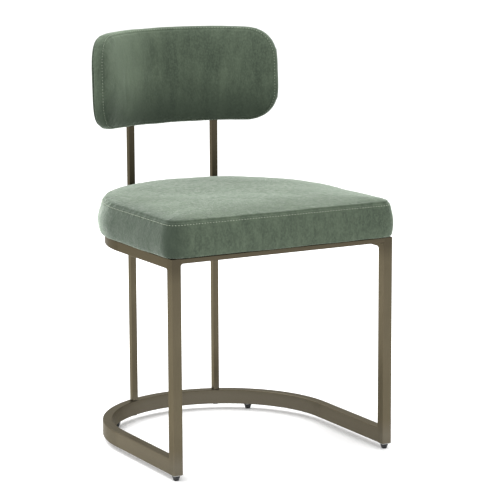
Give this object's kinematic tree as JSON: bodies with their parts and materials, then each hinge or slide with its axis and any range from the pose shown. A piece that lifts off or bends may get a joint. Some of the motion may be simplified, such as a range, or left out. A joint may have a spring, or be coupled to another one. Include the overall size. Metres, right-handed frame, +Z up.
{
  "type": "dining chair",
  "caption": "Upholstered dining chair: D-plan metal tube base, thick padded seat and a curved padded back on slim uprights.",
  "frame": {"origin": "on the floor, below the middle of the chair's bounding box", "axes": "+Z up, the front of the chair faces -Y, +X to the right seen from the front"},
  "size_m": [0.5, 0.5041, 0.805],
  "materials": {
    "frame_metal": "satin antique bronze plated steel tube",
    "zinc_steel": "zinc plated",
    "black_nylon": "moulded nylon, matte",
    "plywood": "bare birch plywood",
    "foam": "polyurethane foam",
    "velvet": "sage green short-pile velvet",
    "lining": "black non-woven lining"
  },
  "bodies": {
    "chair": {"front_leg_left": "frame_metal", "front_leg_right": "frame_metal", "base_tube_left": "frame_metal", "base_tube_right": "frame_metal", "base_bend": "frame_metal", "seat_rail_left": "frame_metal", "seat_rail_right": "frame_metal", "seat_bend": "frame_metal", "front_rail": "frame_metal", "back_board": "plywood", "back_cover_band": "velvet", "back_cover_front": "velvet", "back_foam": "foam", "back_rear_panel": "velvet", "back_screw_left_lower": "zinc_steel", "back_screw_left_upper": "zinc_steel", "back_screw_right_lower": "zinc_steel", "back_screw_right_upper": "zinc_steel", "back_upright_left": "frame_metal", "back_upright_right": "frame_metal", "glide_insert_left": "zinc_steel", "glide_insert_right": "zinc_steel", "leg_plug_left": "zinc_steel", "leg_plug_right": "zinc_steel", "seat_board": "plywood", "seat_cover_band": "velvet", "seat_cover_top": "velvet", "seat_foam": "foam", "seat_lining": "lining", "seat_screw_front_left": "zinc_steel", "seat_screw_front_right": "zinc_steel", "seat_screw_rear_left": "zinc_steel", "seat_screw_rear_right": "zinc_steel", "seat_tab_front_left": "frame_metal", "seat_tab_front_right": "frame_metal", "seat_tab_rear_left": "frame_metal", "seat_tab_rear_right": "frame_metal", "upright_bolt_left": "zinc_steel", "upright_bolt_right": "zinc_steel"},
    "glide_front_left": {"glide_foot_front_left": "black_nylon", "glide_stud_front_left": "zinc_steel"},
    "glide_front_right": {"glide_foot_front_right": "black_nylon", "glide_stud_front_right": "zinc_steel"},
    "glide_rear_left": {"glide_foot_rear_left": "black_nylon", "glide_stud_rear_left": "zinc_steel"},
    "glide_rear_right": {"glide_foot_rear_right": "black_nylon", "glide_stud_rear_right": "zinc_steel"}
  },
  "joints": [
    {"name": "level_front_left", "type": "slide", "parent": "chair", "child": "glide_front_left", "axis": [0, 0, -1], "range_m": [0, 0.008]},
    {"name": "level_front_right", "type": "slide", "parent": "chair", "child": "glide_front_right", "axis": [0, 0, -1], "range_m": [0, 0.008]},
    {"name": "level_rear_left", "type": "slide", "parent": "chair", "child": "glide_rear_left", "axis": [0, 0, -1], "range_m": [0, 0.008]},
    {"name": "level_rear_right", "type": "slide", "parent": "chair", "child": "glide_rear_right", "axis": [0, 0, -1], "range_m": [0, 0.008]}
  ]
}
